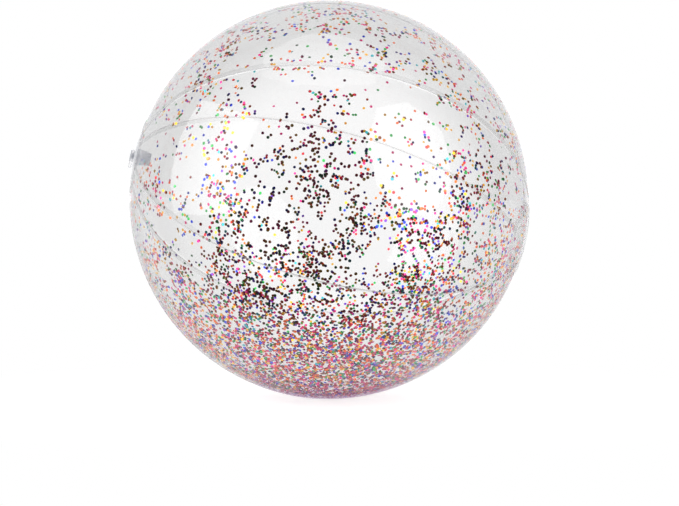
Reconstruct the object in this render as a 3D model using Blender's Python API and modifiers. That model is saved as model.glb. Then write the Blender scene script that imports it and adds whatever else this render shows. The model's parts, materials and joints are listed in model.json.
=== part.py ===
"""Inflatable beach ball: six clear film gores, two end caps, a push-in valve and a bed of loose confetti.

Metres, +Z up, origin at the ball's centre. The ball lies with its pole axis in the XZ plane, the valve pole on
the -X side and a little high, the plain pole on the +X side and a little low.
"""

from math import asin, cos, pi, radians, sin, sqrt

import bmesh
import bpy

# Ball
BALL_DIAMETER = 0.388           # outside of a single layer of film
FILM = 0.0003                   # film thickness
GORE_COUNT = 6
SEAM_LAP = 0.005                # width of one gore's edge over the next
WELD_GAP = 0.0003               # room between welded layers
JOG_WIDTH = 0.0015              # where a gore's edge steps up onto its neighbour
TIP_DIAMETER = 0.050            # ring left open by the blunt gore tips
CAP_LAP = 0.013                 # weld of an end cap over the gore tips
POLE_TILT = radians(12.3)       # valve pole above the horizontal
SEAM_PHASE = radians(6.5)       # first seam, from the top, about the pole axis

# Valve
VALVE_BORE = 0.006
STEM_WALL = 0.0018
LIP_OVERHANG = 0.0014           # lip beyond the stem's wall
LIP_THICKNESS = 0.0015
ROOT_COLLAR_WIDTH = 0.0008      # root collar beyond the stem's wall
ROOT_COLLAR_THICKNESS = 0.0010
POP_TRAVEL = 0.014              # from pushed in to popped out
SKIRT_ROOM = 0.0024             # between the root collar and the hole in the cap
SKIRT_THICKNESS = 0.0006
FLANGE_WIDTH = 0.007            # weld ring outside the hole
FLANGE_THICKNESS = 0.0008
FLAT_MARGIN = 0.002             # cap held flat beyond the flange
PART_GAP = 0.0003               # room between valve pieces that touch

# Plug, tether and check flap
PLUG_LENGTH = 0.007
PLUG_TAPER = 0.0003             # taken off the plug's radius at its end
PLUG_CHAMFER = 0.0006           # lead-in at the plug's end
PLUG_HEAD_INSET = 0.0007        # plug head inside the lip's edge
PLUG_HEAD_THICKNESS = 0.0016
TETHER_WIDTH = 0.003
TETHER_THICKNESS = 0.0008
TETHER_REACH = 0.0045           # straight run of the strap beyond the lip
FLAP_OVERLAP = 0.0014           # flap beyond the bore
FLAP_THICKNESS = 0.0004

# Loose confetti, settled in the bottom
BED_HALF_ANGLE = radians(50)
BED_THICKNESS = 0.0006
BED_CLEARANCE = 0.0020          # under the bed, so that it slides round inside the faceted film

# Facets
GORE_ROWS = 24
GORE_COLUMNS = 8                # between the two seams
ROUND_STEPS = 48
SMALL_ROUND_STEPS = 24
ARC_STEPS = 6
BED_RINGS = 10

# Ball, derived
FILM_RADIUS = BALL_DIAMETER / 2 - FILM
SEAM_LIFT = FILM + WELD_GAP
CAP_SEAT_RADIUS = FILM_RADIUS + SEAM_LIFT + FILM + WELD_GAP
CAP_RADIUS = TIP_DIAMETER / 2 + CAP_LAP

# Valve, derived. Heights are measured outwards from the outer face of the valve cap's flat.
STEM_RADIUS = VALVE_BORE / 2 + STEM_WALL
LIP_RADIUS = STEM_RADIUS + LIP_OVERHANG
ROOT_RADIUS = STEM_RADIUS + ROOT_COLLAR_WIDTH
HOLE_RADIUS = ROOT_RADIUS + SKIRT_ROOM
FLANGE_RADIUS = HOLE_RADIUS + FLANGE_WIDTH
CAP_FLAT_RADIUS = FLANGE_RADIUS + FLAT_MARGIN
CAP_FLAT_HEIGHT = sqrt(CAP_SEAT_RADIUS ** 2 - CAP_FLAT_RADIUS ** 2) + FILM
FLANGE_TOP = -FILM - WELD_GAP
FLANGE_FOOT = FLANGE_TOP - FLANGE_THICKNESS
COLLAR_TOP = FLANGE_FOOT - PART_GAP - POP_TRAVEL
ROOT_HEIGHT = COLLAR_TOP - ROOT_COLLAR_THICKNESS
HEAD_FOOT = LIP_THICKNESS + PART_GAP
HEAD_RADIUS = LIP_RADIUS - PLUG_HEAD_INSET
FLAP_RADIUS = VALVE_BORE / 2 + FLAP_OVERLAP


def clear_scene():
    """Remove the objects that a new file starts with."""
    for obj in list(bpy.data.objects):
        bpy.data.objects.remove(obj, do_unlink=True)


def collection(name):
    """A new collection in the scene."""
    made = bpy.data.collections.new(name)
    bpy.context.scene.collection.children.link(made)
    return made


def material(name, colour, roughness, transmission=0.0, metallic=0.0):
    """A Principled material."""
    made = bpy.data.materials.new(name)
    made.use_nodes = True
    made.diffuse_color = (*colour, 1.0 - 0.7 * transmission)
    shader = made.node_tree.nodes["Principled BSDF"]
    shader.inputs["Base Color"].default_value = (*colour, 1.0)
    shader.inputs["Roughness"].default_value = roughness
    shader.inputs["Metallic"].default_value = metallic
    shader.inputs["Transmission Weight"].default_value = transmission
    return made


def empty(name, home, parent=None):
    """A pivot that other objects hang from."""
    made = bpy.data.objects.new(name, None)
    made.empty_display_size = 0.02
    made.parent = parent
    home.objects.link(made)
    return made


def add_object(name, data, finish, home, parent):
    """A named object with one material."""
    made = bpy.data.objects.new(name, data)
    data.materials.append(finish)
    made.parent = parent
    home.objects.link(made)
    return made


def arc(radius, start, end, steps):
    """(across, along) points on a circle about the origin, by angle from the axis."""
    angles = [start + (end - start) * step / steps for step in range(steps + 1)]
    return [(radius * sin(angle), radius * cos(angle)) for angle in angles]


def turned(name, profile, steps, finish, home, parent):
    """A closed profile of (radius, height) points, top to bottom on its outer side, turned about local Z."""
    mesh = bpy.data.meshes.new(name)
    shape = bmesh.new()
    corners = [shape.verts.new((radius, 0.0, height)) for radius, height in profile]
    for first, second in zip(corners, corners[1:] + corners[:1]):
        if first.co.x > 0.0 or second.co.x > 0.0:
            shape.edges.new((first, second))
    shape.to_mesh(mesh)
    shape.free()
    made = add_object(name, mesh, finish, home, parent)
    screw = made.modifiers.new("turn", "SCREW")
    screw.axis = "Z"
    screw.steps = steps
    screw.render_steps = steps
    screw.use_merge_vertices = True
    screw.merge_threshold = 0.00001
    screw.use_smooth_shade = True
    return made


# Film body

def gore_columns(ring_radius):
    """Azimuth and lift of each column of a gore, at a ring of this radius."""
    lap = SEAM_LAP / ring_radius
    gap = WELD_GAP / ring_radius
    jog = JOG_WIDTH / ring_radius
    pitch = 2 * pi / GORE_COUNT
    end = pitch - gap - jog
    inner = [lap + (end - lap) * step / GORE_COLUMNS for step in range(GORE_COLUMNS + 1)]
    flat = [(0.0, 0.0)] + [(angle, 0.0) for angle in inner]
    raised = [(pitch - gap, SEAM_LIFT), (pitch + lap, SEAM_LIFT)]
    return flat + raised


def gore_mesh(name):
    """One gore as an open surface on the inside of the film, blunt at both tips."""
    column_count = GORE_COLUMNS + 3
    tip = asin(TIP_DIAMETER / 2 / FILM_RADIUS)
    mesh = bpy.data.meshes.new(name)
    shape = bmesh.new()
    bmesh.ops.create_grid(shape, x_segments=column_count, y_segments=GORE_ROWS, size=1.0)
    for vert in shape.verts:
        column = round((vert.co.x + 1) / 2 * column_count)
        row = round((vert.co.y + 1) / 2 * GORE_ROWS)
        polar = pi - tip - (pi - 2 * tip) * row / GORE_ROWS
        azimuth, lift = gore_columns(FILM_RADIUS * sin(polar))[column]
        radius = FILM_RADIUS + lift
        vert.co = (
            radius * sin(polar) * cos(azimuth),
            radius * sin(polar) * sin(azimuth),
            radius * cos(polar),
        )
    for face in shape.faces:
        face.smooth = True
    shape.to_mesh(mesh)
    shape.free()
    return mesh


def build_gores(finish, home, axis):
    """The film gores, each with one edge over its neighbour's."""
    for number in range(GORE_COUNT):
        name = f"gore_panel_{number + 1}"
        gore = add_object(name, gore_mesh(name), finish, home, axis)
        gore.rotation_euler.z = SEAM_PHASE + 2 * pi * number / GORE_COUNT
        film = gore.modifiers.new("film", "SOLIDIFY")
        film.thickness = FILM
        film.offset = 1.0
        film.use_even_offset = True


def build_plain_cap(finish, home, axis):
    """The round patch over the gore tips at the plain pole."""
    edge = asin(CAP_RADIUS / CAP_SEAT_RADIUS)
    outer = arc(CAP_SEAT_RADIUS + FILM, 0.0, edge, ARC_STEPS)
    inner = arc(CAP_SEAT_RADIUS, edge, 0.0, ARC_STEPS)
    cap = turned("plain_end_cap", outer + inner, ROUND_STEPS, finish, home, axis)
    cap.rotation_euler.x = pi


def build_valve_cap(finish, home, seat):
    """The patch at the valve pole, held flat round its hole by the flange."""
    edge = asin(CAP_RADIUS / CAP_SEAT_RADIUS)
    flat = asin(CAP_FLAT_RADIUS / CAP_SEAT_RADIUS)

    def surface(lift, start, end):
        points = arc(CAP_SEAT_RADIUS, start, end, ARC_STEPS)
        return [(radius, height + lift - CAP_FLAT_HEIGHT) for radius, height in points]

    outer = [(HOLE_RADIUS, 0.0)] + surface(FILM, flat, edge)
    inner = surface(0.0, edge, flat) + [(HOLE_RADIUS, -FILM)]
    turned("valve_end_cap", outer + inner, ROUND_STEPS, finish, home, seat)


# Valve

def build_flange(finish, home, seat):
    """The flat ring that is welded under the valve cap."""
    profile = [
        (HOLE_RADIUS, FLANGE_TOP),
        (FLANGE_RADIUS, FLANGE_TOP),
        (FLANGE_RADIUS, FLANGE_FOOT),
        (HOLE_RADIUS, FLANGE_FOOT),
    ]
    turned("valve_flange", profile, ROUND_STEPS, finish, home, seat)


def build_skirt(finish, home, seat):
    """The thin cone between flange and stem root, which turns inside out as the stem moves."""
    top, foot = FLANGE_FOOT - PART_GAP, COLLAR_TOP - ROOT_COLLAR_THICKNESS / 2
    narrow = ROOT_RADIUS + PART_GAP
    profile = [
        (HOLE_RADIUS, top),
        (HOLE_RADIUS + SKIRT_THICKNESS, top),
        (narrow + SKIRT_THICKNESS, foot),
        (narrow, foot),
    ]
    turned("valve_skirt", profile, SMALL_ROUND_STEPS, finish, home, seat)


def build_stem(finish, home, pivot):
    """The tube that is blown into, with a lip outside and a collar at its root."""
    bore = VALVE_BORE / 2
    profile = [
        (bore, LIP_THICKNESS),
        (LIP_RADIUS, LIP_THICKNESS),
        (LIP_RADIUS, 0.0),
        (STEM_RADIUS, 0.0),
        (STEM_RADIUS, COLLAR_TOP),
        (ROOT_RADIUS, COLLAR_TOP),
        (ROOT_RADIUS, ROOT_HEIGHT),
        (bore, ROOT_HEIGHT),
    ]
    turned("valve_stem", profile, SMALL_ROUND_STEPS, finish, home, pivot)


def build_plug(finish, home, pivot):
    """The tapered plug, closed down onto the lip."""
    shank = VALVE_BORE / 2 - PART_GAP
    tip = shank - PLUG_TAPER
    foot = HEAD_FOOT - PLUG_LENGTH
    profile = [
        (0.0, HEAD_FOOT + PLUG_HEAD_THICKNESS),
        (HEAD_RADIUS, HEAD_FOOT + PLUG_HEAD_THICKNESS),
        (HEAD_RADIUS, HEAD_FOOT),
        (shank, HEAD_FOOT),
        (tip, foot + PLUG_CHAMFER),
        (tip - PLUG_CHAMFER, foot),
        (0.0, foot),
    ]
    turned("valve_plug", profile, SMALL_ROUND_STEPS, finish, home, pivot)


def build_tether(finish, home, pivot):
    """The strap that loops from the lip's edge up to the edge of the plug's head."""
    low, high = LIP_THICKNESS / 2, HEAD_FOOT + PLUG_HEAD_THICKNESS / 2
    bend_x, bend_z = -LIP_RADIUS - TETHER_REACH, (low + high) / 2
    half = TETHER_THICKNESS / 2

    def bend(radius, start, end):
        points = arc(radius, start, end, ARC_STEPS)
        return [(bend_x - across, bend_z + along) for across, along in points]

    outline = [(-HEAD_RADIUS - PART_GAP, high + half)]
    outline += bend((high - low) / 2 + half, 0.0, pi)
    outline += [(-LIP_RADIUS - PART_GAP, low - half), (-LIP_RADIUS - PART_GAP, low + half)]
    outline += bend((high - low) / 2 - half, pi, 0.0)
    outline += [(-HEAD_RADIUS - PART_GAP, high - half)]

    strap = bpy.data.curves.new("plug_tether", "CURVE")
    strap.dimensions = "2D"
    strap.fill_mode = "BOTH"
    strap.extrude = TETHER_WIDTH / 2
    spline = strap.splines.new("POLY")
    spline.points.add(len(outline) - 1)
    for point, (across, along) in zip(spline.points, outline):
        point.co = (across, along, 0.0, 1.0)
    spline.use_cyclic_u = True
    made = add_object("plug_tether", strap, finish, home, pivot)
    made.rotation_euler.x = pi / 2


def build_flap(finish, home, hinge):
    """The film disc that closes the stem's root, hung from the top of its edge."""
    profile = [
        (0.0, 0.0),
        (FLAP_RADIUS, 0.0),
        (FLAP_RADIUS, -FLAP_THICKNESS),
        (0.0, -FLAP_THICKNESS),
    ]
    flap = turned("check_flap", profile, SMALL_ROUND_STEPS, finish, home, hinge)
    flap.location.x = -FLAP_RADIUS


# Filling

def build_bed(finish, home, pivot):
    """The settled confetti: a thin bowl that slides round inside the ball."""
    outside = FILM_RADIUS - BED_CLEARANCE
    inner = arc(outside - BED_THICKNESS, pi, pi - BED_HALF_ANGLE, BED_RINGS)
    outer = arc(outside, pi - BED_HALF_ANGLE, pi, BED_RINGS)
    turned("glitter_bed", inner + outer, ROUND_STEPS, finish, home, pivot)


def main():
    """Build the ball, its valve and its filling."""
    clear_scene()
    home = collection("beach_ball")
    film = material("clear_film", (0.93, 0.94, 0.95), 0.06, transmission=0.9)
    patch = material("clear_patch", (0.90, 0.91, 0.93), 0.10, transmission=0.9)
    moulding = material("soft_moulding", (0.80, 0.81, 0.83), 0.25, transmission=0.5)
    plug = material("plug_moulding", (0.84, 0.85, 0.87), 0.25, transmission=0.4)
    confetti = material("foil_confetti", (0.85, 0.45, 0.65), 0.30, metallic=0.6)

    axis = empty("pole_axis", home)
    axis.rotation_euler.y = POLE_TILT - pi / 2
    build_gores(film, home, axis)
    build_plain_cap(patch, home, axis)

    seat = empty("valve_seat", home, axis)
    seat.location.z = CAP_FLAT_HEIGHT
    build_valve_cap(patch, home, seat)
    build_flange(moulding, home, seat)
    build_skirt(moulding, home, seat)

    stem_slide = empty("stem_slide", home, seat)
    build_stem(moulding, home, stem_slide)
    build_tether(moulding, home, stem_slide)
    plug_slide = empty("plug_slide", home, stem_slide)
    build_plug(plug, home, plug_slide)
    flap_hinge = empty("flap_hinge", home, stem_slide)
    flap_hinge.location = (FLAP_RADIUS, 0.0, ROOT_HEIGHT - PART_GAP)
    build_flap(film, home, flap_hinge)

    glitter_pivot = empty("glitter_pivot", home)
    build_bed(confetti, home, glitter_pivot)


main()
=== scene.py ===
"""Looks of an inflatable beach ball: clear vinyl film, welded seams, a push-in valve and loose foil confetti.

Metres, +Z up, in the frame's own space. The pole axis runs through the two end patches, and the valve is at
its outer end. Every size is a dataclass field or is read from the frame.
"""

import sys

import json
import logging
from dataclasses import dataclass, field
from enum import Enum
from math import asin, cos, pi, radians, sin

import bmesh
import bpy
from mathutils import Matrix, Vector


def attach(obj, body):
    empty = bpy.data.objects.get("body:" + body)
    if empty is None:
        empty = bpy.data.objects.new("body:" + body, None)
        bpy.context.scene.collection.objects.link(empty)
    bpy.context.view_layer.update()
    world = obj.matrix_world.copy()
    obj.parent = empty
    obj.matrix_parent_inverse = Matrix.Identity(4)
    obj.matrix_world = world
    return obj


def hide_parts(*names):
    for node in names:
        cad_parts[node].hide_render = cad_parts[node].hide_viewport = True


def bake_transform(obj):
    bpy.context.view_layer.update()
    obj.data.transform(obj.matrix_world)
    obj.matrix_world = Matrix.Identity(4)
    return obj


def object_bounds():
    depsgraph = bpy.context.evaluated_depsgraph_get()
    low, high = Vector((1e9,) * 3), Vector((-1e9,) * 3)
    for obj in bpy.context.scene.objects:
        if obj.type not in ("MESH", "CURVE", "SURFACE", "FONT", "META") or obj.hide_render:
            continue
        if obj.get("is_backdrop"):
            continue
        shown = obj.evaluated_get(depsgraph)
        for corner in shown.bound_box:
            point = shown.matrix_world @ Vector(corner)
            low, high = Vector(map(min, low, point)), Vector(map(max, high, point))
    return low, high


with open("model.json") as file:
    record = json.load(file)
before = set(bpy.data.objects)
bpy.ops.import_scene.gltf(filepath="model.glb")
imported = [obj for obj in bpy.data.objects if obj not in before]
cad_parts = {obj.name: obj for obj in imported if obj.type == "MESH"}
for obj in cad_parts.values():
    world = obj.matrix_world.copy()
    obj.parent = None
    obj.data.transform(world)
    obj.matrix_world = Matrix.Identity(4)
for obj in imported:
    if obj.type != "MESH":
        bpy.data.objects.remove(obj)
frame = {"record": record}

LOG = logging.getLogger("beach_ball")
MM = 0.001
ON_AXIS = 1e-6                          # a radius under this is on the axis
SHARP = radians(40)                     # edges that turn by more than this stay sharp

# Node types that are used often
EMISSION = "ShaderNodeEmission"
MATH = "ShaderNodeMath"
MIX = "ShaderNodeMix"
NOISE = "ShaderNodeTexNoise"
RANDOM = "FunctionNodeRandomValue"
RANGE = "ShaderNodeMapRange"
VECTOR = "ShaderNodeVectorMath"


# Helpers

def linear(colour: str) -> tuple[float, float, float, float]:
    """Turn an sRGB hex colour into linear light.

    Args:
        colour: six hex digits after a hash.

    Returns:
        Red, green, blue and an alpha of one.
    """
    shares = [int(colour[start:start + 2], 16) / 255 for start in (1, 3, 5)]
    bent = [s / 12.92 if s <= 0.04045 else ((s + 0.055) / 1.055) ** 2.4 for s in shares]
    return (*bent, 1.0)


def add_node(tree: bpy.types.NodeTree, kind: str, inputs: dict | None = None, out: int | str = 0,
             **settings: object) -> bpy.types.NodeSocket | bpy.types.Node:
    """Add a node with its settings and links.

    Args:
        tree: the tree that the node joins.
        kind: the node's type name.
        inputs: values or output sockets, by the name or the number of the input that they go to.
        out: the output that is handed back.
        **settings: properties of the node.

    Returns:
        The chosen output, or the node itself when it has none.
    """
    node = tree.nodes.new(kind)
    for name, value in settings.items():
        setattr(node, name, value)
    for key, value in (inputs or {}).items():
        if isinstance(value, bpy.types.NodeSocket):
            tree.links.new(value, node.inputs[key])
        else:
            node.inputs[key].default_value = value
    return node.outputs[out] if len(node.outputs) else node


def new_material(name: str) -> tuple[bpy.types.Material, bpy.types.NodeTree]:
    """Start a material with an empty tree."""
    made = bpy.data.materials.new(name)
    made.use_nodes = True
    made.node_tree.nodes.clear()
    return made, made.node_tree


def add_object(name: str, mesh: bpy.types.Mesh) -> bpy.types.Object:
    """Put a mesh in the scene at the origin."""
    made = bpy.data.objects.new(name, mesh)
    bpy.context.scene.collection.objects.link(made)
    return made


def grow(name: str, tree: bpy.types.NodeTree, values: dict[str, object]) -> bpy.types.Object:
    """Evaluate a Geometry Nodes tree and keep its result as a plain mesh.

    Args:
        name: the piece's name.
        tree: the tree.
        values: the tree's inputs, by name.

    Returns:
        The piece, with no modifier left on it.
    """
    made = add_object(name, bpy.data.meshes.new(name))
    modifier = made.modifiers.new("build", "NODES")
    modifier.node_group = tree
    for socket in tree.interface.items_tree:
        if socket.in_out == "INPUT" and socket.name in values:
            modifier[socket.identifier] = values[socket.name]
    evaluated = made.evaluated_get(bpy.context.evaluated_depsgraph_get())
    mesh = bpy.data.meshes.new_from_object(evaluated)
    made.modifiers.remove(modifier)
    made.data = mesh
    mesh.name = name
    return made


def new_tree(name: str, inputs: dict[str, str]) -> tuple[bpy.types.NodeTree, bpy.types.Node]:
    """Start a Geometry Nodes tree.

    Args:
        name: the tree's name.
        inputs: the kind of each named input.

    Returns:
        The tree and its Group Input node.
    """
    tree = bpy.data.node_groups.new(name, "GeometryNodeTree")
    tree.interface.new_socket("Geometry", in_out="OUTPUT", socket_type="NodeSocketGeometry")
    for label, kind in inputs.items():
        tree.interface.new_socket(label, in_out="INPUT", socket_type=f"NodeSocket{kind}")
    return tree, tree.nodes.new("NodeGroupInput")


def close_tree(tree: bpy.types.NodeTree, shape: bpy.types.NodeSocket, finish: bpy.types.NodeSocket) -> None:
    """End a tree: real geometry in one material."""
    real = add_node(tree, "GeometryNodeRealizeInstances", {"Geometry": shape})
    dressed = add_node(tree, "GeometryNodeSetMaterial", {"Geometry": real, "Material": finish})
    add_node(tree, "NodeGroupOutput", {"Geometry": dressed})


def arc(radius: float, start: float, end: float, steps: int) -> list[tuple[float, float]]:
    """Points (across, along) on a circle about the origin, by angle from the axis."""
    angles = [start + (end - start) * step / steps for step in range(steps + 1)]
    return [(radius * sin(angle), radius * cos(angle)) for angle in angles]


def rounded(profile: list[tuple[float, float]], radius: float, steps: int = 4) -> list[tuple[float, float]]:
    """Round the corners of a closed profile, except those on the axis.

    Args:
        profile: (radius, height) corners in order.
        radius: of each fillet, less where a side is short.
        steps: points along a fillet, less one.

    Returns:
        The profile with its corners rounded.
    """
    made = []
    longest = 0.45                      # of a side, so that the fillets at its two ends stay apart
    for before, here, after in zip(profile[-1:] + profile[:-1], profile, profile[1:] + profile[:1]):
        corner, first, second = Vector(here), Vector(before), Vector(after)
        if corner.x < ON_AXIS:
            made.append(here)
            continue
        back, forth = first - corner, second - corner
        reach = min(radius, longest * back.length, longest * forth.length)
        start, end = corner + back.normalized() * reach, corner + forth.normalized() * reach
        for step in range(steps + 1):
            share = step / steps
            made.append(tuple(start.lerp(corner, share).lerp(corner.lerp(end, share), share)))
    return made


def lathe(name: str, profile: list[tuple[float, float]], steps: int, place: Matrix) -> bpy.types.Object:
    """Turn a closed profile about local Z and put it in its place.

    Args:
        name: the piece's name.
        profile: (radius, height) points, top to bottom on the outer side.
        steps: facets round the axis.
        place: from local space to the frame.

    Returns:
        The piece, closed and smooth.
    """
    shape = bmesh.new()
    rings = []
    for radius, height in profile:
        turns = 1 if radius < ON_AXIS else steps
        angles = [2 * pi * turn / steps for turn in range(turns)]
        rings.append([shape.verts.new((radius * cos(a), radius * sin(a), height)) for a in angles])
    for upper, lower in zip(rings, rings[1:] + rings[:1]):
        if len(upper) == 1 and len(lower) == 1:
            continue
        for turn in range(steps):
            after = (turn + 1) % steps
            corners = [upper[turn % len(upper)], lower[turn % len(lower)],
                       lower[after % len(lower)], upper[after % len(upper)]]
            shape.faces.new(list(dict.fromkeys(corners)))
    return finish_mesh(name, shape, place)


def finish_mesh(name: str, shape: bmesh.types.BMesh, place: Matrix) -> bpy.types.Object:
    """Turn a closed bmesh into a smooth-shaded piece at its place, with its normals outwards."""
    bmesh.ops.transform(shape, matrix=place, verts=shape.verts)
    bmesh.ops.recalc_face_normals(shape, faces=shape.faces)
    mesh = bpy.data.meshes.new(name)
    shape.to_mesh(mesh)
    shape.free()
    mesh.shade_smooth()
    mesh.set_sharp_from_angle(angle=SHARP)
    return add_object(name, mesh)


def report(piece: bpy.types.Object, text: str) -> None:
    """Log a piece's size and what it is."""
    piece.data.calc_loop_triangles()
    LOG.info("%s: %d triangles, %s", piece.name, len(piece.data.loop_triangles), text)


# Finishes

@dataclass(frozen=True)
class ClearFilm:
    """Calendered clear PVC, blown tight: it mirrors a little head on and a lot at a glance, with painted
    shade greying its mirror at the outline.
    """

    name: str = "clear_pvc_film"
    ior: float = 1.42                   # under the real 1.54, so that the softboxes do not burn out the film
    roughness: float = 0.045
    haze: float = 0.010                 # share of light that the vinyl scatters, which greys it slightly
    weld_haze: float = 0.28             # more of it along a weld, where the heat has clouded the vinyl
    milk: float = 0.9                   # how pale that scattered light is
    buried_shine: float = 0.08          # share of the mirror that is left under a welded layer
    rim_tint: str = "#f7f7f7"           # greying of each face at a glance, where the way through is longer
    rim_glance: tuple[float, float] = (0.10, 0.50)
    painted_outline_shade: str = "#85878c"            # painted shade: its mirror is greyed to this at the outline, so that it reads against white
    painted_shade_glance: tuple[float, float] = (0.42, 0.88)
    weld_attribute: str = "weld"        # 1 on a weld line, -1 where another layer is welded over the film
    weld_rib: float = 1.6 * MM          # pitch of the weld's embossed ribs, coarser than real so as to show
    rib_height: float = 0.03 * MM
    wave: float = 45 * MM               # length of the slack waves that calendering leaves
    wave_height: float = 0.35 * MM
    pole: Vector = field(default_factory=lambda: Vector((0, 0, 1)))

    def material(self) -> bpy.types.Material:
        """Build the film: mostly see-through, with the mirror share of both of its faces on the near one."""
        made, tree = new_material(self.name)
        place = add_node(tree, "ShaderNodeTexCoord", out="Object")
        weld = add_node(tree, "ShaderNodeAttribute", out="Fac", attribute_name=self.weld_attribute)

        # The near face mirrors, and the far face of the same film stays clear.
        mirror = add_node(tree, "ShaderNodeFresnel", {"IOR": self.ior})
        back = add_node(tree, "ShaderNodeNewGeometry", out="Backfacing")
        near = add_node(tree, MATH, {0: 1.0, 1: back}, operation="SUBTRACT")
        buried = add_node(tree, RANGE, {"Value": weld, "From Min": -1.0, "From Max": -0.5,
                                        "To Min": self.buried_shine, "To Max": 1.0})
        open_side = add_node(tree, MATH, {0: near, 1: buried}, operation="MULTIPLY")
        shine = add_node(tree, MATH, {0: mirror, 1: open_side}, operation="MULTIPLY")

        # Slack waves over the whole film, and fine ribs across each weld.
        slack = add_node(tree, NOISE, {"Vector": place, "Scale": 1 / self.wave, "Detail": 1.0})
        along = add_node(tree, VECTOR, {0: place, 1: self.pole}, out="Value", operation="DOT_PRODUCT")
        phase = add_node(tree, MATH, {0: along, 1: 2 * pi / self.weld_rib}, operation="MULTIPLY")
        ribs = add_node(tree, MATH, {0: phase}, operation="SINE")
        on_weld = add_node(tree, MATH, {0: weld, 1: 0.5}, operation="GREATER_THAN")
        embossed = add_node(tree, MATH, {0: ribs, 1: on_weld}, operation="MULTIPLY")
        waves = add_node(tree, "ShaderNodeBump", {"Height": slack, "Distance": self.wave_height})
        relief = add_node(tree, "ShaderNodeBump", {"Height": embossed, "Strength": 0.2,
                                                   "Distance": self.rib_height, "Normal": waves})

        # The longer way through the film greys it towards its outline, and painted shade greys its mirror
        # there.
        glance = add_node(tree, "ShaderNodeLayerWeight", {"Blend": 0.5}, out="Facing")
        start, full = self.rim_glance
        steep = add_node(tree, RANGE, {"Value": glance, "From Min": start, "From Max": full},
                         interpolation_type="SMOOTHSTEP")
        tint = add_node(tree, MIX, {0: steep, 6: (1, 1, 1, 1), 7: linear(self.rim_tint)}, out=2,
                        data_type="RGBA")
        clear = add_node(tree, "ShaderNodeBsdfTransparent", {"Color": tint})
        # Painted shade: the mirror's colour goes grey towards the outline.
        start, full = self.painted_shade_glance
        painted_outline_shade = add_node(tree, RANGE, {"Value": glance, "From Min": start, "From Max": full},
                           interpolation_type="SMOOTHSTEP")
        mirror_with_painted_shade = add_node(tree, MIX, {0: painted_outline_shade, 6: (1, 1, 1, 1), 7: linear(self.painted_outline_shade)}, out=2,
                         data_type="RGBA")
        gloss = add_node(tree, "ShaderNodeBsdfPrincipled", {
            "Base Color": mirror_with_painted_shade, "Metallic": 1.0, "Roughness": self.roughness, "Normal": relief})
        milk = add_node(tree, "ShaderNodeBsdfDiffuse", {"Color": (self.milk, self.milk, self.milk, 1.0)})
        cloudy = add_node(tree, MATH, {0: on_weld, 1: self.weld_haze, 2: self.haze}, operation="MULTIPLY_ADD")
        hazy = add_node(tree, "ShaderNodeMixShader", {0: cloudy, 1: clear, 2: milk})
        film = add_node(tree, "ShaderNodeMixShader", {0: shine, 1: hazy, 2: gloss})
        add_node(tree, "ShaderNodeOutputMaterial", {"Surface": film})
        return made


@dataclass(frozen=True)
class SoftVinyl:
    """Injection-moulded soft PVC: milky, half see-through, with a waxy gloss and faint flow marks."""

    name: str
    colour: str
    deep_colour: str
    clear_share: float                  # of each face, seen straight on
    clear_colour: str = "#fbfbfc"
    clear_glance: tuple[float, float] = (0.35, 0.95)    # over which half of the clear share goes
    roughness: float = 0.28
    flow_mark: float = 4 * MM
    grain: float = 0.5 * MM             # of the mould's skin
    grain_height: float = 0.03 * MM
    glow_depth: float = 2 * MM          # how far light spreads inside

    def material(self) -> bpy.types.Material:
        """Build the moulding's milky body over a clear share."""
        made, tree = new_material(self.name)
        place = add_node(tree, "ShaderNodeTexCoord", out="Object")
        cloud = add_node(tree, NOISE, {"Vector": place, "Scale": 1 / self.flow_mark, "Detail": 3.0})
        tone = add_node(tree, MIX, {0: cloud, 6: linear(self.colour), 7: linear(self.deep_colour)}, out=2,
                        data_type="RGBA")
        rough = add_node(tree, RANGE, {"Value": cloud, "To Min": self.roughness - 0.06,
                                       "To Max": self.roughness + 0.08})
        grain = add_node(tree, NOISE, {"Vector": place, "Scale": 1 / self.grain, "Detail": 2.0})
        relief = add_node(tree, "ShaderNodeBump", {"Height": grain, "Strength": 0.25,
                                                   "Distance": self.grain_height})
        body = add_node(tree, "ShaderNodeBsdfPrincipled", {
            "Base Color": tone, "Roughness": rough, "IOR": 1.5, "Normal": relief, "Subsurface Weight": 0.4,
            "Subsurface Radius": (1.0, 1.0, 1.0), "Subsurface Scale": self.glow_depth})
        glance = add_node(tree, "ShaderNodeLayerWeight", {"Blend": 0.5}, out="Facing")
        start, full = self.clear_glance
        see = add_node(tree, RANGE, {"Value": glance, "From Min": start, "From Max": full,
                                     "To Min": self.clear_share, "To Max": 0.5 * self.clear_share})
        clear = add_node(tree, "ShaderNodeBsdfTransparent", {"Color": linear(self.clear_colour)})
        mix = add_node(tree, "ShaderNodeMixShader", {0: see, 1: body, 2: clear})
        add_node(tree, "ShaderNodeOutputMaterial", {"Surface": mix})
        return made


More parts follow.
